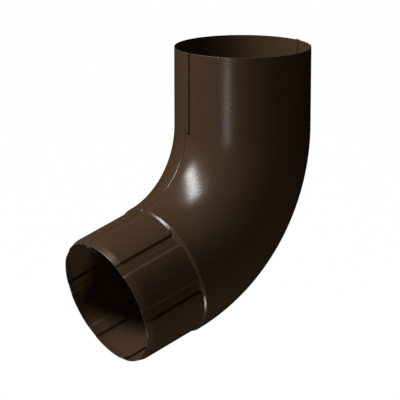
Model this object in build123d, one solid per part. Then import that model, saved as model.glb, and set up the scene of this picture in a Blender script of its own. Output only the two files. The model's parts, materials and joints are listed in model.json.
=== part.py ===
"""Downspout elbow: a 72 degree bend for a 90 mm round rainwater pipe, in painted sheet steel.

The elbow is two pressed half shells, one each side of the bend's own plane, locked together by a
folded seam along the throat and another along the heel. The socket at the top is plain. The spigot
at the outlet is drawn smaller and fluted, so that it enters the pipe below.

Frame: millimetres, +Z up. The origin is the centre of the socket's mouth, with the socket's axis
along Z. The pipe bends towards -Y, so that the spigot points forwards and down, and the two half
shells lie at -X (left) and +X (right).

Every cross-section is drawn square to the pipe, in (u, v): v points from the pipe's axis to the
throat, which is the inside of the bend, and u points into the half shell that is being drawn.
"""

import os
from dataclasses import dataclass
from math import atan, atan2, cos, degrees, hypot, pi, radians, sin, sqrt, tan

from build123d import *

# Driving dimensions of the pipe
BODY_RADIUS = 45.0  # outside of the socket and of the bend: the 90 mm nominal size
SHEET = 0.5  # painted steel sheet
SOCKET_LENGTH = 52.5  # from the mouth to where the bend starts
BEND_RADIUS = 93.5  # of the pipe's centreline
BEND_ANGLE = 72.0  # degrees that the bend turns the pipe
SPIGOT_LENGTH = 48.0  # from the end of the bend to the rim

# The spigot: lands between pressed grooves, all drawn in at the rim
LAND_DROP = 1.1  # how much smaller the lands' radius is than the body's
STEP_LENGTH = 2.6  # of the shoulder between the body and the lands
GROOVE_ANGLES = (45.0, 90.0, 135.0)  # degrees from the throat, on each half shell
GROOVE_WIDTH = 8.8  # between the middles of a groove's two flanks
FLANK_WIDTH = 1.3  # of one flank, along the wall
GROOVE_DEPTH = 0.7  # from the lands to the grooves' floors
GROOVE_RUN_IN = 4.5  # from the end of the bend to where a groove has its full depth
LAND_CORNER = 2.5  # radius of a land's corners, beside the shoulder
TIP_LENGTH = 5.0  # of the stretch that is drawn in at the rim
TIP_DROP = 1.4  # how far the lands are drawn in at the rim
TIP_GROOVE_DEPTH = 0.5  # of the grooves at the rim

# The lock seam: two folds hooked into each other, four layers of sheet thick
SEAM_FLAT = 4.2  # half the width of the flattened strip of wall that carries the seam
SEAM_HALF = 2.0  # from the bend's plane to the outside of each fold
SEAM_GAP = 0.04  # clearance between one layer and the next
HOOK_GAP = 0.25  # between a hook's cut edge and the fold around it
CHANGEOVER = 2.5  # stretch, half of it above the bend, in which the seam sinks through the wall

# Worked out from the above
PITCH = SHEET + SEAM_GAP  # from one layer's middle to the next one's
JOGGLE = 1.5 * PITCH  # radius of both bends that carry a sheet from the first layer to the fourth
JOGGLE_AT = SEAM_HALF + SEAM_GAP + SHEET / 2  # upright part of that sheet, from the bend's plane
FOLD_AT = SEAM_HALF - PITCH - SHEET / 2  # centre of a fold
HOOK_END = FOLD_AT + PITCH - SHEET / 2 - HOOK_GAP  # cut edge of a hook
TIP_START = SPIGOT_LENGTH - TIP_LENGTH

# How finely the small bends and the spigot's ends are divided
FLAT_TURN = 45  # degrees from one flat of a seam's bend to the next
RUN_IN_STEPS = 5
TIP_STEPS = 3


@dataclass(frozen=True)
class Half:
    """One half shell: side is +1 for the one at +X, and turn is +1 where its fold turns inwards."""

    name: str
    side: int
    turn: int


@dataclass(frozen=True)
class Station:
    """Sizes of one cross-section. A proud seam stands outside the wall, any other inside it."""

    radius: float = BODY_RADIUS
    proud: bool = False
    fluted: bool = False
    groove_depth: float = 0.0
    groove_half: float = GROOVE_WIDTH / 2


def ramp(x):
    """Smooth climb from 0 to 1 as x goes from 0 to 1."""
    return (1 - cos(pi * min(max(x, 0.0), 1.0))) / 2


def small_bend(centre, radius, turn, start, stop):
    """Corners of a bend in the seam, drawn as flats, between two angles in degrees from turn's side."""
    angles = range(start, stop + 1, FLAT_TURN) if start < stop else range(start, stop - 1, -FLAT_TURN)
    return [(centre[0] + radius * sin(radians(a)), centre[1] + turn * radius * cos(radians(a))) for a in angles]


def seam_corners(half, station, inset):
    """Corners of one face of the sheet, from its hook's cut edge to where the round wall starts.

    inset is the face's depth under the outer face. One sheet keeps its level beside the seam, and
    the other is joggled past it: outwards where the seam is proud, inwards where it is not.
    """
    turn = half.turn
    face = SHEET / 2 - inset
    joggled = station.proud == (turn > 0)
    rise = turn * JOGGLE if joggled else 0.0
    strip = sqrt(station.radius**2 - SEAM_FLAT**2) - SHEET / 2
    level = strip + 2 * rise
    hook = (HOOK_END, level - 2 * turn * PITCH - face)
    fold = small_bend((-FOLD_AT, level - turn * PITCH), PITCH + turn * face, turn, 180, 360)
    # The joggle's two bends meet in the middle of a flat, so the corner between them is left out.
    joggle = small_bend((JOGGLE_AT - JOGGLE, level - rise), JOGGLE + turn * face, turn, 0, 90)[:-1]
    joggle += small_bend((JOGGLE_AT + JOGGLE, strip + rise), JOGGLE - turn * face, turn, 270, 180)[1:]
    if not joggled:
        joggle = [(u, strip + face) for u, _ in joggle]
    crease = (sqrt((station.radius - inset) ** 2 - (strip + face) ** 2), strip + face)
    return [hook, *fold, *joggle, crease]


def wall_corners(station, inset, crease):
    """Corners of the same face round the wall, over lands and grooves, from crease to crease."""
    land = station.radius - inset
    floor = land - station.groove_depth
    # A flank's face moves away from the groove's middle as it goes deeper into the sheet.
    half = station.groove_half + inset * tan(atan(station.groove_depth / FLANK_WIDTH) / 2)
    outer, inner = half + FLANK_WIDTH / 2, half - FLANK_WIDTH / 2
    corners = [crease]
    for middle in GROOVE_ANGLES if station.fluted else ():
        for radius, offset in ((land, -outer), (floor, -inner), (floor, inner), (land, outer)):
            angle = radians(middle) + offset / station.radius
            corners.append((radius * sin(angle), radius * cos(angle)))
    return corners + [(crease[0], -crease[1])]


def wall_arc(a, b):
    """The arc between two corners of the wall, half-way between them in angle and in radius."""
    angle = (atan2(*a) + atan2(*b)) / 2
    radius = (hypot(*a) + hypot(*b)) / 2
    return ThreePointArc(a, (radius * sin(angle), radius * cos(angle)), b)


def section(half, station, plane):
    """The sheet's cross-section in one half shell, as a face on the plane."""
    faces, ends = [], []
    for inset in (0.0, SHEET):
        throat = seam_corners(half, station, inset)
        wall = [(half.side * u, v) for u, v in wall_corners(station, inset, throat[-1])]
        throat = [(half.side * u, v) for u, v in throat]
        heel = [(u, -v) for u, v in reversed(throat)]
        seams = [[Line(a, b) for a, b in zip(seam, seam[1:])] for seam in (throat, heel)]
        faces.append(seams[0] + [wall_arc(a, b) for a, b in zip(wall, wall[1:])] + seams[1])
        ends.append((throat[0], heel[-1]))
    (outer_start, outer_end), (inner_start, inner_end) = ends
    outline = faces[0] + [Line(outer_end, inner_end)] + faces[1][::-1] + [Line(inner_start, outer_start)]
    return plane * Face(Wire(outline))


def square_to_pipe(distance, turned=None):
    """Plane square to the pipe: past the socket's mouth or, once the pipe has turned, past the turn."""
    a = radians(turned or 0.0)
    along = Vector(0, -sin(a), -cos(a))
    start = Vector(0, -BEND_RADIUS * (1 - cos(a)), -SOCKET_LENGTH - BEND_RADIUS * sin(a))
    return Plane((Vector() if turned is None else start) + along * distance, x_dir=(1, 0, 0), z_dir=along)


def spigot_station(distance):
    """The spigot's sizes at a distance past the bend: shoulder, groove run-in, and drawn-in tip."""
    tip = 2 * ramp((distance - TIP_START) / TIP_LENGTH / 2)
    corner = min(max(GROOVE_RUN_IN - distance, 0.0), LAND_CORNER)
    return Station(
        radius=BODY_RADIUS - LAND_DROP * ramp(distance / STEP_LENGTH) - TIP_DROP * tip,
        fluted=True,
        groove_depth=GROOVE_DEPTH * ramp(distance / GROOVE_RUN_IN) - (GROOVE_DEPTH - TIP_GROOVE_DEPTH) * tip,
        groove_half=GROOVE_WIDTH / 2 + LAND_CORNER - sqrt(LAND_CORNER**2 - corner**2),
    )


def half_shell(half):
    """One half shell: socket, the stretch where the seam changes sides, bend and spigot."""
    proud, sunk = Station(proud=True), Station()
    plain_socket = SOCKET_LENGTH - CHANGEOVER / 2
    turned = degrees(CHANGEOVER / 2 / BEND_RADIUS)
    bend_start = section(half, sunk, square_to_pipe(0, turned))
    socket = extrude(section(half, proud, square_to_pipe(0)), plain_socket, dir=(0, 0, -1))
    changeover = loft([section(half, proud, square_to_pipe(plain_socket)), bend_start], ruled=True)
    bend_axis = Axis((0, -BEND_RADIUS, -SOCKET_LENGTH), (-1, 0, 0))
    bend = revolve(bend_start, bend_axis, BEND_ANGLE - turned)
    distances = [GROOVE_RUN_IN * i / RUN_IN_STEPS for i in range(RUN_IN_STEPS + 1)]
    distances += [TIP_START + TIP_LENGTH * i / TIP_STEPS for i in range(TIP_STEPS + 1)]
    rings = [section(half, spigot_station(d), square_to_pipe(d, BEND_ANGLE)) for d in distances]
    spigot = loft(rings, ruled=True)
    return socket + changeover + bend + spigot


HALVES = (Half("right_half_shell", 1, 1), Half("left_half_shell", -1, -1))

os.makedirs("parts", exist_ok=True)
for half in HALVES:
    export_step(half_shell(half), f"parts/{half.name}.step")
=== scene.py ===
"""Looks of a downspout elbow for a round rainwater pipe, in brown satin paint.

The elbow is two half shells of painted sheet steel, locked together by a folded seam along the
throat and another along the heel. Each is one closed surface here, worked out as arrays, with the
true bends of its folds and the soft flanks of its grooves. A pale studio stands around them.

Everything is in metres, in the part's own frame: the origin is the centre of the socket's mouth, +Z
is up along the socket, and the pipe bends towards -Y. Cross-sections are drawn square to the pipe in
(u, v): u is along X, and v points from the pipe's axis to the throat, the inside of the bend.
"""

import json
import logging
import math
from dataclasses import dataclass
from enum import Enum
from typing import Any

import bpy
import numpy as np
from mathutils import Matrix, Quaternion, Vector


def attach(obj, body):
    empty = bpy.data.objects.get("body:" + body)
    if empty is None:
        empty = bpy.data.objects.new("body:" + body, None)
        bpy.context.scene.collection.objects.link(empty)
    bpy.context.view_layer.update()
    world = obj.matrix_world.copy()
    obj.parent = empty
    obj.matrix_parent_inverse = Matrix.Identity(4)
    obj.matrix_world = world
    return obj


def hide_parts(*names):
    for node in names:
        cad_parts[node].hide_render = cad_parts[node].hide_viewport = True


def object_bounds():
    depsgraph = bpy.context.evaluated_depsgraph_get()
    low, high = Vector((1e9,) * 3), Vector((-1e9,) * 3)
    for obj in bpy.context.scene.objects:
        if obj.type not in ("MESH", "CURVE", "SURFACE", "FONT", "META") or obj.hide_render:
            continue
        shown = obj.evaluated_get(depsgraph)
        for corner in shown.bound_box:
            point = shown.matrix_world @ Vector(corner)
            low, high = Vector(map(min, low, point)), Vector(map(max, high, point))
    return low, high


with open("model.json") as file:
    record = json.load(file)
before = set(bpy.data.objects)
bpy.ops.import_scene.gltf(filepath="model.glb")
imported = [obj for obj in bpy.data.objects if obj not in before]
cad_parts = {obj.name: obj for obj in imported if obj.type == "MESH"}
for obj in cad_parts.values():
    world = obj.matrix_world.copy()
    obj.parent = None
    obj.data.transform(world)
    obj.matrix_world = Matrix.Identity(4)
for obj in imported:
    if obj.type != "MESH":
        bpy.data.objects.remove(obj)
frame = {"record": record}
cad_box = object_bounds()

LOG = logging.getLogger("downspout_elbow")
BODY = "root"
BARE = "bare"  # the surface attribute that is 1 on a cut edge of the sheet
MM = 0.001

# Sizes that the record's mounts don't give
SHEET = 0.5 * MM
BEND_RADIUS = 93.5 * MM
SPIGOT_LENGTH = 48.0 * MM

HALF_WAY = 0.5  # added to a climb's share, it puts the climb's middle where the share is 0
WHITE = (1.0, 1.0, 1.0, 1.0)
NOISE_MIDDLE = 0.5  # the value about which a noise texture strays
MIX_SHARE, MIX_FIRST, MIX_SECOND, MIX_RESULT = 0, 6, 7, 2  # sockets of a Mix node of colours


def ramp(x: np.ndarray) -> np.ndarray:
    """Smooth climb from 0 to 1 as x goes from 0 to 1, half a cosine wave.

    Args:
        x: how far along the climb, any value.

    Returns:
        (1 - cos(pi x)) / 2, with x kept between 0 and 1.
    """
    return (1 - np.cos(np.pi * np.clip(x, 0.0, 1.0))) / 2


def steps(start: float, stop: float, spacing: float) -> np.ndarray:
    """Even steps from start up to, and without, stop.

    Args:
        start: first value.
        stop: end of the stretch, which the next stretch begins with.
        spacing: longest step.

    Returns:
        The values, as an array.
    """
    return np.linspace(start, stop, max(int(np.ceil((stop - start) / spacing)), 1), endpoint=False)


def enclosed_volume(verts: np.ndarray, quads: np.ndarray) -> float:
    """Volume inside a closed surface, negative where its faces point inwards.

    Each face is two triangles, and each triangle adds a sixth of its first corner's dot product with
    the cross product of the other two.

    Args:
        verts: points by 3.
        quads: corner numbers, faces by 4.

    Returns:
        The volume, in cubic metres.
    """
    a, b, c, d = (verts[quads[:, corner]] for corner in range(4))
    return float((a * (np.cross(b, c) + np.cross(c, d))).sum() / 6)


def direction(azimuth: float, elevation: float) -> Vector:
    """Unit vector at two angles: (sin a cos e, -cos a cos e, sin e).

    Args:
        azimuth: degrees from -Y towards +X.
        elevation: degrees above the floor's level.

    Returns:
        The vector, in the part's frame.
    """
    a, e = math.radians(azimuth), math.radians(elevation)
    return Vector((math.sin(a) * math.cos(e), -math.cos(a) * math.cos(e), math.sin(e)))


class Side(Enum):
    """A half shell: its CAD node, its sign of X, and its turn, +1 where its fold turns inwards."""

    RIGHT = ("right_half_shell", 1, 1)
    LEFT = ("left_half_shell", -1, -1)

    @property
    def node(self) -> str:
        """Name of the CAD node that this half shell stands for."""
        return self.value[0]

    @property
    def sign(self) -> int:
        """+1 for the half shell at +X, and -1 for the other."""
        return self.value[1]

    @property
    def turn(self) -> int:
        """+1 where the fold turns towards the pipe's axis, and -1 where it turns away."""
        return self.value[2]


@dataclass(frozen=True)
class Route:
    """The pipe's centreline: a straight socket, a round bend and a straight spigot."""

    socket: float
    bend_radius: float
    bend_angle: float
    spigot: float

    @property
    def bend_end(self) -> float:
        """Distance along the centreline from the mouth to the end of the bend."""
        return self.socket + self.bend_radius * self.bend_angle

    @property
    def length(self) -> float:
        """Length of the whole centreline."""
        return self.bend_end + self.spigot

    def place(self, s: np.ndarray, u: np.ndarray, v: np.ndarray) -> np.ndarray:
        """Carries cross-sections along the centreline.

        The section at a distance s is turned about the bend's centre by the arc that s has used up,
        and past the bend it slides on along the spigot's axis.

        Args:
            s: distance past the mouth, one row for each section.
            u: place across the bend's plane, rows by points.
            v: place towards the throat, rows by points.

        Returns:
            Points in the part's frame, rows by points by 3.
        """
        angle = np.clip((s - self.socket) / self.bend_radius, 0.0, self.bend_angle)
        past = np.maximum(s - self.bend_end, 0.0)
        y = -self.bend_radius * (1 - np.cos(angle)) - past * np.sin(angle) - v * np.cos(angle)
        z = -np.minimum(s, self.socket) - self.bend_radius * np.sin(angle)
        z = z - past * np.cos(angle) + v * np.sin(angle)
        return np.stack(np.broadcast_arrays(u, y, z), axis=-1)


@dataclass(frozen=True)
class Spigot:
    """The fluted end: lands between pressed grooves, a shoulder above and a drawn-in tip below."""

    land_drop: float  # how much smaller the lands' radius is than the body's
    step_length: float = 2.6 * MM  # of the shoulder
    groove_angles: tuple[float, ...] = (45.0, 90.0, 135.0)  # degrees from the throat
    groove_width: float = 8.3 * MM  # between the middles of a groove's two flanks
    flank_width: float = 2.2 * MM  # softly rounded, so wider than the solid's straight flank
    groove_depth: float = 1.15 * MM
    run_in: float = 4.5 * MM  # from the end of the bend to where a groove has its full depth
    land_corner: float = 2.5 * MM  # radius of a land's corners, beside the shoulder
    tip_length: float = 5.8 * MM
    tip_turn: float = 0.4  # share of the tip in which the wall turns inwards, before it runs straight
    tip_drop: float = 1.4 * MM  # how far the lands are drawn in at the rim
    tip_groove_depth: float = 0.5 * MM

    def tip(self, past: np.ndarray, length: float) -> np.ndarray:
        """Share of the tip's drawing-in: a parabola while the wall turns inwards, then a straight line.

        Args:
            past: distance past the bend.
            length: the spigot's length.

        Returns:
            0 up to the tip, and 1 at the rim.
        """
        share = np.clip((past - length + self.tip_length) / self.tip_length, 0.0, 1.0)
        turned = np.minimum(share, self.tip_turn)
        return (share - turned + turned**2 / (2 * self.tip_turn)) / (1 - self.tip_turn / 2)

    def shrink(self, past: np.ndarray, length: float) -> np.ndarray:
        """How much smaller the lands' radius is than the body's, at the shoulder and at the tip."""
        return self.land_drop * ramp(past / self.step_length) + self.tip_drop * self.tip(past, length)

    def depth(self, past: np.ndarray, length: float) -> np.ndarray:
        """Depth of the grooves, which run in behind the shoulder and grow shallower at the tip."""
        fade = (self.groove_depth - self.tip_groove_depth) * self.tip(past, length)
        return self.groove_depth * ramp(past / self.run_in) - fade

    def half_width(self, past: np.ndarray) -> np.ndarray:
        """Half of a groove's width, wider beside the shoulder, where the lands' corners are round."""
        corner = np.clip(self.run_in - past, 0.0, self.land_corner)
        return self.groove_width / 2 + self.land_corner - np.sqrt(self.land_corner**2 - corner**2)

    def pressed(self, angle: np.ndarray, radius: np.ndarray, half: np.ndarray) -> np.ndarray:
        """Share of the grooves' depth at an angle round the pipe.

        Each groove is a plateau between two smooth climbs, and the grooves are added up.

        Args:
            angle: radians from the throat.
            radius: of the lands.
            half: from a groove's middle to the middle of its flank.

        Returns:
            0 on the lands and 1 on the floors.
        """
        middles = np.radians(self.groove_angles).reshape(-1, 1, 1)
        away = np.abs(angle - middles) * radius
        return ramp((half - away) / self.flank_width + HALF_WAY).sum(axis=0)


@dataclass(frozen=True)
class Seam:
    """The lock seam: two folds hooked into each other, four layers of sheet thick."""

    sheet: float
    flat: float = 4.2 * MM  # half the width of the flattened strip of wall that carries the seam
    half: float = 2.0 * MM  # from the bend's plane to the outside of each fold
    gap: float = 0.04 * MM  # between one layer and the next
    hook_gap: float = 0.25 * MM  # between a hook's cut edge and the fold around it
    changeover: float = 2.5 * MM  # stretch in which the seam sinks through the wall
    slant: float = 0.45  # how far the changeover slips along the pipe, for each step across it
    fold_steps: int = 12  # flats in the half circle of a fold
    joggle_steps: int = 6  # flats in each quarter circle of a joggle

    @property
    def pitch(self) -> float:
        """From one layer's middle to the next one's."""
        return self.sheet + self.gap

    @property
    def joggle(self) -> float:
        """Radius of both bends that carry a sheet three layers on: each takes half of the way."""
        return 3 * self.pitch / 2

    def face(
        self, turn: int, radius: np.ndarray, inset: np.ndarray, joggled: bool
    ) -> tuple[np.ndarray, np.ndarray]:
        """One face of the sheet, from its hook's cut edge to where the round wall starts.

        The hook is a straight end, the fold is half a circle about the seam's middle layer, and the
        joggle is two quarter circles, one each way. A sheet that isn't joggled keeps its level.

        Args:
            turn: the half shell's turn.
            radius: of the pipe's outside, one row for each section.
            inset: the face's depth under the outer face, one row for each section.
            joggled: whether this sheet is carried past the other one.

        Returns:
            u and v, each rows by points.
        """
        up = self.sheet / 2 - inset
        rise = turn * self.joggle if joggled else 0.0
        strip = np.sqrt(radius**2 - self.flat**2) - self.sheet / 2
        level = strip + 2 * rise
        fold_at = self.half - self.pitch - self.sheet / 2
        hook_end = fold_at + self.pitch - self.sheet / 2 - self.hook_gap
        upright = self.half + self.gap + self.sheet / 2
        fold = np.radians(np.linspace(180, 360, self.fold_steps + 1))
        upper = np.radians(np.linspace(0, 90, self.joggle_steps + 1))
        lower = np.radians(np.linspace(270, 180, self.joggle_steps + 1))[1:]
        around_fold = self.pitch + turn * up
        around_upper, around_lower = self.joggle + turn * up, self.joggle - turn * up
        upper_v = level - rise + turn * around_upper * np.cos(upper)
        lower_v = strip + rise + turn * around_lower * np.cos(lower)
        if not joggled:
            upper_v, lower_v = strip + up + 0 * upper, strip + up + 0 * lower
        u = [
            hook_end + 0 * up,
            -fold_at + around_fold * np.sin(fold),
            upright - self.joggle + around_upper * np.sin(upper),
            upright + self.joggle + around_lower * np.sin(lower),
            np.sqrt((radius - inset) ** 2 - (strip + up) ** 2),
        ]
        v = [
            level - 2 * turn * self.pitch - up,
            level - turn * self.pitch + turn * around_fold * np.cos(fold),
            upper_v,
            lower_v,
            strip + up,
        ]
        return np.concatenate(u, axis=1), np.concatenate(v, axis=1)


@dataclass(frozen=True)
class Grain:
    """How finely a half shell is divided, as the longest steps along the pipe and the points round it."""

    socket: float = 12.0 * MM
    changeover: float = 0.28 * MM
    bend: float = 1.9 * MM
    shoulder: float = 0.2 * MM
    lands: float = 7.0 * MM
    tip: float = 0.32 * MM
    wall_points: int = 196
    wall_samples: int = 4001  # places at which the density of those points is added up
    flank_weight: float = 7.0  # how much closer the points lie on a groove's flanks
    flank_reach: float = 1.5  # flank widths from a flank's middle to where they are sparse again
    rim_rows: int = 4  # rows between the outer and the inner face, at the mouth and at the rim
    rim_round: float = 0.12 * MM  # how far a cut edge bulges
    rim_margin: float = 0.2 * MM  # from a cut edge or the shoulder to the next row


@dataclass(frozen=True)
class HalfShell:
    """One pressed half of the elbow: half of the wall, with a seam's sheet at the throat and the heel."""

    side: Side
    radius: float
    route: Route
    spigot: Spigot
    seam: Seam
    grain: Grain = Grain()

    def rows(self) -> tuple[np.ndarray, np.ndarray]:
        """The closed loop of rows round the sheet, from the mouth to the rim and back inside.

        The outer rows run down the pipe at no depth, the rim turns over in half an ellipse, the inner
        rows run back at the sheet's depth, and the mouth turns over in the same way.

        Returns:
            Distance past the mouth and depth in the sheet of each row.
        """
        grain, route = self.grain, self.route
        edge = grain.rim_round
        reach = self.seam.changeover / 2 + self.seam.slant * self.seam.flat
        shoulder_end = route.bend_end + self.spigot.run_in + grain.rim_margin
        tip_start = route.length - self.spigot.tip_length
        down = np.concatenate(
            [
                [edge],
                steps(edge + grain.rim_margin, route.socket - reach, grain.socket),
                steps(route.socket - reach, route.socket + reach, grain.changeover),
                steps(route.socket + reach, route.bend_end, grain.bend),
                steps(route.bend_end, shoulder_end, grain.shoulder),
                steps(shoulder_end, tip_start, grain.lands),
                steps(tip_start, route.length - edge - grain.rim_margin, grain.tip),
                [route.length - edge - grain.rim_margin, route.length - edge],
            ]
        )
        over = np.pi * np.arange(1, grain.rim_rows + 1) / (grain.rim_rows + 1)
        bulge, through = edge * np.sin(over), self.seam.sheet * (1 - np.cos(over)) / 2
        s = np.concatenate([down, route.length - edge + bulge, down[::-1], edge - bulge])
        inset = np.concatenate([0 * down, through, 0 * down + self.seam.sheet, through[::-1]])
        return s, inset

    def wall_shares(self) -> np.ndarray:
        """Places of the wall's points, as shares of the way from the throat's crease to the heel's.

        The points follow a density that is 1 on the lands and higher on the grooves' flanks, and each
        point is where that density, added up, reaches its own even share.

        Returns:
            Shares between 0 and 1, without the ends.
        """
        fine = np.linspace(0.0, 1.0, self.grain.wall_samples)
        crease = math.asin(self.seam.flat / self.radius)
        angle = crease + (np.pi - 2 * crease) * fine
        middles = np.radians(self.spigot.groove_angles) * self.radius
        half = self.spigot.groove_width / 2
        flanks = np.concatenate([middles - half, middles + half])
        near = np.abs(angle * self.radius - flanks[:, None]).min(axis=0)
        reach = self.grain.flank_reach * self.spigot.flank_width
        density = 1 + self.grain.flank_weight * (1 - ramp(near / reach))
        total = np.concatenate([[0.0], np.cumsum((density[1:] + density[:-1]) / 2)])
        even = np.linspace(0.0, total[-1], self.grain.wall_points + 2)[1:-1]
        return np.interp(even, total, fine)

    def outline(self, s: np.ndarray, inset: np.ndarray) -> tuple[np.ndarray, np.ndarray]:
        """Cross-section of every row, from the throat's hook round the wall to the heel's.

        In the socket the seam stands proud of the wall, so the right sheet is joggled outwards. Past
        the changeover it lies inside, so the left one is joggled inwards. In between, each point goes
        smoothly from the first place to the second. The heel is the throat, mirrored.

        Args:
            s: distance past the mouth of each row.
            inset: depth in the sheet of each row.

        Returns:
            u and v, each rows by points.
        """
        s, inset = s[:, None], inset[:, None]
        past = s - self.route.bend_end
        radius = self.radius - self.spigot.shrink(past, self.route.spigot)
        depth = self.spigot.depth(past, self.route.spigot)
        turn = self.side.turn
        proud_u, proud_v = self.seam.face(turn, radius, inset, joggled=turn > 0)
        sunk_u, sunk_v = self.seam.face(turn, radius, inset, joggled=turn < 0)
        slip = self.seam.slant * self.side.sign * proud_u
        sunk = ramp((s - self.route.socket - slip) / self.seam.changeover + HALF_WAY)
        seam_u, seam_v = proud_u + (sunk_u - proud_u) * sunk, proud_v + (sunk_v - proud_v) * sunk
        crease = np.arctan2(seam_u[:, -1:], seam_v[:, -1:])
        angle = crease + (np.pi - 2 * crease) * self.wall_shares()
        lean = np.tan(np.arctan(depth / self.spigot.flank_width) / 2)
        half = self.spigot.half_width(past) + inset * lean
        radial = radius - inset - depth * self.spigot.pressed(angle, radius, half)
        u = np.concatenate([seam_u, radial * np.sin(angle), seam_u[:, ::-1]], axis=1)
        v = np.concatenate([seam_v, radial * np.cos(angle), -seam_v[:, ::-1]], axis=1)
        return u * self.side.sign, v

    def faces(self, rows: int, points: int) -> np.ndarray:
        """Four-sided faces of the closed sheet.

        The grid joins each row to the next, all the way round the loop. Both cut edges of the hooks
        are closed by a strip that joins each outer row to the inner row at the same place.

        Args:
            rows: number of rows in the loop.
            points: number of points in each row.

        Returns:
            Corner numbers, faces by 4.
        """
        row, point = np.meshgrid(np.arange(rows), np.arange(points - 1), indexing="ij")
        following = (row + 1) % rows
        here, there = row * points + point, following * points + point
        grid = np.stack([here, here + 1, there + 1, there], axis=-1).reshape(-1, 4)
        rim = self.grain.rim_rows
        last = rows - rim - 1  # the loop's inner row at the mouth, opposite row 0
        row = np.arange(-(rim // 2), rows // 2 - rim // 2 - 1)
        corners = np.stack([row, row + 1, last - row - 1, last - row], axis=-1) % rows * points
        return np.concatenate([grid, corners, corners[:, ::-1] + points - 1])

    def build(self) -> bpy.types.Object:
        """Makes the half shell's mesh, with its cut edges marked, in place of its CAD node.

        Returns:
            The finished object, with no material yet.
        """
        s, inset = self.rows()
        u, v = self.outline(s, inset)
        rows, points = u.shape
        verts = self.route.place(s[:, None], u, v).reshape(-1, 3)
        quads = self.faces(rows, points)
        volume = enclosed_volume(verts, quads)
        if volume < 0:
            quads = quads[:, ::-1]
        mesh = bpy.data.meshes.new(self.side.node + "_sheet")
        mesh.from_pydata(verts.tolist(), [], quads.tolist())
        mesh.polygons.foreach_set("use_smooth", np.ones(len(quads), bool))
        depth = inset / self.seam.sheet
        # Bare is 0 on both painted faces, and 1 half-way through the sheet.
        bare = np.repeat(4 * depth * (1 - depth), points)
        mesh.attributes.new(BARE, "FLOAT", "POINT").data.foreach_set("value", bare.astype(np.float32))
        mesh.update()
        shell = bpy.data.objects.new(self.side.node + "_sheet", mesh)
        bpy.context.scene.collection.objects.link(shell)
        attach(shell, BODY)
        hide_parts(self.side.node)
        LOG.info("%s: %d faces, %.0f cubic mm of sheet", shell.name, len(quads), abs(volume) / MM**3)
        return shell


class Wire:
    """A shader value that Python's arithmetic works on, each sign adding a Math node."""

    def __init__(self, board: "Board", socket: bpy.types.NodeSocket) -> None:
        """Holds one output socket of a board's node."""
        self.board = board
        self.socket = socket

    def __add__(self, other: "Wire | float") -> "Wire":
        """This value plus another."""
        return self.board.maths("ADD", self, other)

    __radd__ = __add__

    def __sub__(self, other: "Wire | float") -> "Wire":
        """This value less another."""
        return self.board.maths("SUBTRACT", self, other)

    def __rsub__(self, other: float) -> "Wire":
        """A number less this value."""
        return self.board.maths("SUBTRACT", other, self)

    def __mul__(self, other: "Wire | float") -> "Wire":
        """This value times another."""
        return self.board.maths("MULTIPLY", self, other)

    __rmul__ = __mul__


class Board:
    """A node tree, with one method that adds any node to it."""

    def __init__(self, tree: bpy.types.NodeTree) -> None:
        """Starts with an empty tree."""
        self.tree = tree
        tree.nodes.clear()

    def node(self, kind: str, settings: dict[str, Any], sockets: dict[str | int, Any]) -> bpy.types.Node:
        """Adds a node, sets its settings, then fills its sockets.

        Args:
            kind: the node's type.
            settings: properties of the node, by name, set before its sockets.
            sockets: a value, a Wire or an output socket for each input, by name or number.

        Returns:
            The new node.
        """
        made = self.tree.nodes.new(kind)
        for name, value in settings.items():
            setattr(made, name, value)
        for key, value in sockets.items():
            if isinstance(value, Wire):
                self.tree.links.new(value.socket, made.inputs[key])
            elif isinstance(value, bpy.types.NodeSocket):
                self.tree.links.new(value, made.inputs[key])
            else:
                made.inputs[key].default_value = value
        return made

    def read(
        self, kind: str, settings: dict[str, Any], sockets: dict[str | int, Any], output: str | int
    ) -> Wire:
        """Adds a node and returns one of its outputs, by name or number."""
        return Wire(self, self.node(kind, settings, sockets).outputs[output])

    def maths(self, operation: str, *values: "Wire | float") -> Wire:
        """Adds a Math node on the values and returns its result."""
        return self.read("ShaderNodeMath", {"operation": operation}, dict(enumerate(values)), 0)

    def blend(self, share: "Wire | float", first: Any, second: Any) -> Wire:
        """Adds a colour Mix from the first colour to the second and returns its result."""
        colours = {MIX_SHARE: share, MIX_FIRST: first, MIX_SECOND: second}
        return self.read("ShaderNodeMix", {"data_type": "RGBA"}, colours, MIX_RESULT)


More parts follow.
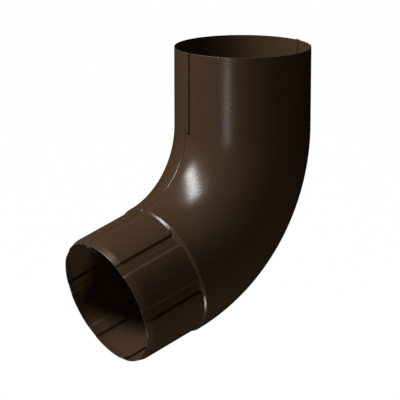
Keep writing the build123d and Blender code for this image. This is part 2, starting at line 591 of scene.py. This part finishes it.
@dataclass(frozen=True)
class SatinPaint:
    """Brown satin coil paint on zinc-coated sheet: an even colour with a fine grain, bare where cut."""

    colour: tuple[float, float, float] = (0.0735, 0.0413, 0.0207)
    tone: float = 0.10  # how far the colour strays, as a share of it
    tone_scale: float = 26.0  # stretches of a slightly other tone in a metre
    tone_detail: float = 3.0  # finer layers of noise on top of the first
    tone_share: float = 0.6  # of the straying that is slow: the grain has the rest
    roughness: float = 0.265
    roughness_stray: float = 0.10
    specular: float = 0.5
    grain_scale: float = 600.0  # grains of the cured film in a metre
    grain_detail: float = 2.0
    grain_height: float = 0.035 * MM
    ripple_scale: float = 90.0  # slow waves that the rolls leave in the sheet, in a metre
    ripple_detail: float = 1.0
    ripple_height: float = 0.010 * MM
    layer_strength: float = 0.55  # of each finer layer of noise, as a share of the one before
    zinc: tuple[float, float, float] = (0.25, 0.24, 0.225)
    zinc_roughness: float = 0.45
    zinc_metallic: float = 0.85
    zinc_spread: float = 1.6  # widens the bare mark, so that zinc covers most of a cut edge

    def noise(self, board: Board, where: Wire, scale: float, detail: float) -> Wire:
        """A noise texture's value on the object's own coordinates."""
        sockets = {"Vector": where, "Scale": scale, "Detail": detail, "Roughness": self.layer_strength}
        return board.read("ShaderNodeTexNoise", {}, sockets, 0)

    def material(self) -> bpy.types.Material:
        """Builds the paint's material.

        The colour goes between a darker and a lighter brown with slow and fine noise, and roughness
        follows the same noise. Grain and ripple are one height map for the bump. The bare attribute
        turns paint to zinc on a cut edge.

        Returns:
            The material.
        """
        made = bpy.data.materials.new("brown_satin_paint")
        made.use_nodes = True
        board = Board(made.node_tree)
        where = board.read("ShaderNodeTexCoord", {}, {}, "Object")
        slow = self.noise(board, where, self.tone_scale, self.tone_detail)
        grain = self.noise(board, where, self.grain_scale, self.grain_detail)
        ripple = self.noise(board, where, self.ripple_scale, self.ripple_detail)
        marked = board.read("ShaderNodeAttribute", {"attribute_name": BARE}, {}, "Fac")
        bare = board.maths("MINIMUM", marked * self.zinc_spread, 1.0)
        dark = (*[c * (1 - self.tone) for c in self.colour], 1.0)
        light = (*[c * (1 + self.tone) for c in self.colour], 1.0)
        tone = slow * self.tone_share + grain * (1 - self.tone_share)
        brown = board.blend(tone, dark, light)
        slow_stray = (slow - NOISE_MIDDLE) * self.roughness_stray
        fine_stray = (grain - NOISE_MIDDLE) * self.roughness_stray
        paint_rough = self.roughness + slow_stray + fine_stray
        height = grain * self.grain_height + ripple * self.ripple_height
        relief = {"Strength": 1.0, "Distance": 1.0, "Height": height}
        bump = board.read("ShaderNodeBump", {}, relief, "Normal")
        shader = board.node(
            "ShaderNodeBsdfPrincipled",
            {},
            {
                "Base Color": board.blend(bare, brown, (*self.zinc, 1.0)),
                "Roughness": paint_rough + bare * (self.zinc_roughness - self.roughness),
                "Metallic": bare * self.zinc_metallic,
                "Specular IOR Level": self.specular,
                "Normal": bump,
            },
        )
        board.node("ShaderNodeOutputMaterial", {}, {"Surface": shader.outputs[0]})
        return made


@dataclass(frozen=True)
class Lamp:
    """A soft oblong lamp, placed by its direction from the elbow's middle."""

    name: str
    azimuth: float  # degrees from -Y towards +X
    elevation: float  # degrees
    distance: float
    width: float
    height: float
    roll: float  # degrees that the lamp is turned about its own beam
    watts: float
    mirrored: bool = True  # whether glossy surfaces show it

    def hang(self, target: Vector) -> bpy.types.Object:
        """Makes the lamp, facing the target.

        Args:
            target: the point that it lights.

        Returns:
            The lamp's object.
        """
        towards = direction(self.azimuth, self.elevation)
        light = bpy.data.lights.new(self.name, "AREA")
        light.shape = "RECTANGLE"
        light.size, light.size_y, light.energy = self.width, self.height, self.watts
        lamp = bpy.data.objects.new(self.name, light)
        lamp.location = target + towards * self.distance
        turned = towards.to_track_quat("Z", "Y") @ Quaternion((0.0, 0.0, 1.0), math.radians(self.roll))
        lamp.rotation_euler = turned.to_euler()
        lamp.visible_glossy = self.mirrored
        bpy.context.scene.collection.objects.link(lamp)
        return lamp


@dataclass(frozen=True)
class Studio:
    """A white room: the floor, the lamps, the light of the room itself and the camera."""

    lamps: tuple[Lamp, ...] = (
        Lamp("key", -18.0, 43.5, 1.5, width=0.36, height=1.17, roll=-41.0, watts=26.5),
        Lamp("low_window", 28.0, -9.0, 1.2, width=0.19, height=0.14, roll=0.0, watts=0.5),
        Lamp("floor_card", 73.0, -63.0, 1.2, width=0.26, height=0.26, roll=0.0, watts=3.8),
        Lamp("back_fill", 233.7, 16.0, 1.6, width=1.0, height=1.0, roll=0.0, watts=16.0, mirrored=False),
    )
    room: float = 0.014  # strength of the room's own light on the elbow
    mirrored_room: float = 0.003  # strength at which glossy surfaces see the room
    floor_drop: float = 1.1  # from the elbow's lowest point to the floor
    floor_size: float = 60.0
    floor_grey: float = 0.10
    floor_glow: float = 0.992  # what the camera sees of the floor besides the light that falls on it
    azimuth: float = 53.677  # the photograph's viewing angle, in degrees
    elevation: float = 13.4145
    camera_back: float = 1.5428  # steps from the origin along the camera's own axes
    camera_right: float = -0.028048
    camera_up: float = -0.100929
    focal_pixels: float = 2353.4
    image_pixels: float = 400.0  # the picture's width
    sensor: float = 36.0  # millimetres

    def seen_strength(self, board: Board) -> Wire:
        """Strength of the white surroundings as they are seen: whole by the camera, faint in gloss.

        Args:
            board: the node tree that needs it.

        Returns:
            1 for the camera's rays and those through glass, and the mirrored share for glossy rays.
        """
        path = board.node("ShaderNodeLightPath", {}, {})
        names = ("Is Camera Ray", "Is Transmission Ray", "Is Glossy Ray")
        camera, glass, gloss = (Wire(board, path.outputs[name]) for name in names)
        return camera + glass + gloss * self.mirrored_room

    def fill(self) -> None:
        """Sets the world: white to the camera and through glass, dimmer in reflections and as light."""
        world = bpy.data.worlds.new("white_room")
        world.use_nodes = True
        bpy.context.scene.world = world
        board = Board(world.node_tree)
        matt = board.read("ShaderNodeLightPath", {}, {}, "Is Diffuse Ray")
        strength = self.seen_strength(board) + matt * self.room
        white = board.node("ShaderNodeBackground", {}, {"Color": WHITE, "Strength": strength})
        board.node("ShaderNodeOutputWorld", {}, {"Surface": white.outputs[0]})

    def lay_floor(self, lowest: float) -> bpy.types.Object:
        """Makes the floor, pale to the camera and lit by the lamps too, so that it keeps a shadow.

        Args:
            lowest: the elbow's lowest point.

        Returns:
            The floor's object.
        """
        level, reach = lowest - self.floor_drop, self.floor_size / 2
        turns = ((-1, -1), (1, -1), (1, 1), (-1, 1))
        corners = [(x * reach, y * reach, level) for x, y in turns]
        mesh = bpy.data.meshes.new("floor")
        mesh.from_pydata(corners, [], [(0, 1, 2, 3)])
        floor = bpy.data.objects.new("floor", mesh)
        bpy.context.scene.collection.objects.link(floor)
        floor.visible_glossy = False  # glossy rays see the dimmer room instead
        finish = bpy.data.materials.new("pale_floor")
        finish.use_nodes = True
        board = Board(finish.node_tree)
        grey = (self.floor_grey, self.floor_grey, self.floor_grey, 1.0)
        lit = board.node("ShaderNodeBsdfDiffuse", {}, {"Color": grey})
        seen = self.seen_strength(board) * self.floor_glow
        glow = board.node("ShaderNodeEmission", {}, {"Color": WHITE, "Strength": seen})
        both = board.node("ShaderNodeAddShader", {}, {0: lit.outputs[0], 1: glow.outputs[0]})
        board.node("ShaderNodeOutputMaterial", {}, {"Surface": both.outputs[0]})
        mesh.materials.append(finish)
        return floor

    def set_camera(self) -> bpy.types.Object:
        """Places the camera at the photograph's angle, distance and framing.

        Its axes are right, up and back at the two angles, and its place is a step along each of them
        from the origin.

        Returns:
            The camera's object.
        """
        around = math.radians(self.azimuth)
        back = direction(self.azimuth, self.elevation)
        right = Vector((math.cos(around), math.sin(around), 0.0))
        up = back.cross(right)
        lens = bpy.data.cameras.new("camera")
        lens.sensor_width = self.sensor
        lens.lens = self.sensor * self.focal_pixels / self.image_pixels
        camera = bpy.data.objects.new("camera", lens)
        place = back * self.camera_back + right * self.camera_right + up * self.camera_up
        camera.matrix_world = Matrix.Translation(place) @ Matrix((right, up, back)).transposed().to_4x4()
        bpy.context.scene.collection.objects.link(camera)
        bpy.context.scene.camera = camera
        return camera

    def build(self, low: Vector, high: Vector) -> None:
        """Puts up the whole studio round the elbow's box.

        Args:
            low: the box's lowest corner.
            high: the box's highest corner.
        """
        self.fill()
        self.lay_floor(low.z)
        self.set_camera()
        for lamp in self.lamps:
            lamp.hang((low + high) / 2)
        bpy.context.scene.view_settings.view_transform = "Standard"
        LOG.info("studio: %d lamps", len(self.lamps))


def elbow_from_frame(record: dict[str, Any]) -> tuple[HalfShell, ...]:
    """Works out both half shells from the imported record's mounts and the elbow's own sizes.

    The socket's bore gives the inside radius, the spigot's mount gives the lands' radius and the
    direction in which the bend ends.

    Args:
        record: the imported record.

    Returns:
        The right and the left half shell.
    """
    mounts = {mount["name"]: mount for mount in record["mounts"]}
    bore, spigot = mounts["inlet_socket"], mounts["outlet_spigot"]
    radius = bore["dims"]["r_mm"] * MM + SHEET
    seam = Seam(SHEET)
    route = Route(
        socket=bore["dims"]["length_mm"] * MM + seam.changeover / 2,
        bend_radius=BEND_RADIUS,
        bend_angle=math.atan2(-spigot["axis"][1], -spigot["axis"][2]),
        spigot=SPIGOT_LENGTH,
    )
    fluted = Spigot(land_drop=radius - spigot["dims"]["r_mm"] * MM)
    return tuple(HalfShell(side, radius, route, fluted, seam) for side in Side)


def main() -> None:
    """Builds the elbow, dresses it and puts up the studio."""
    logging.basicConfig(level=logging.INFO, format="%(name)s: %(message)s")
    paint = SatinPaint().material()
    for half in elbow_from_frame(frame["record"]):
        half.build().data.materials.append(paint)
    Studio().build(*cad_box)
    bpy.context.view_layer.update()


if __name__ == "__main__":
    main()
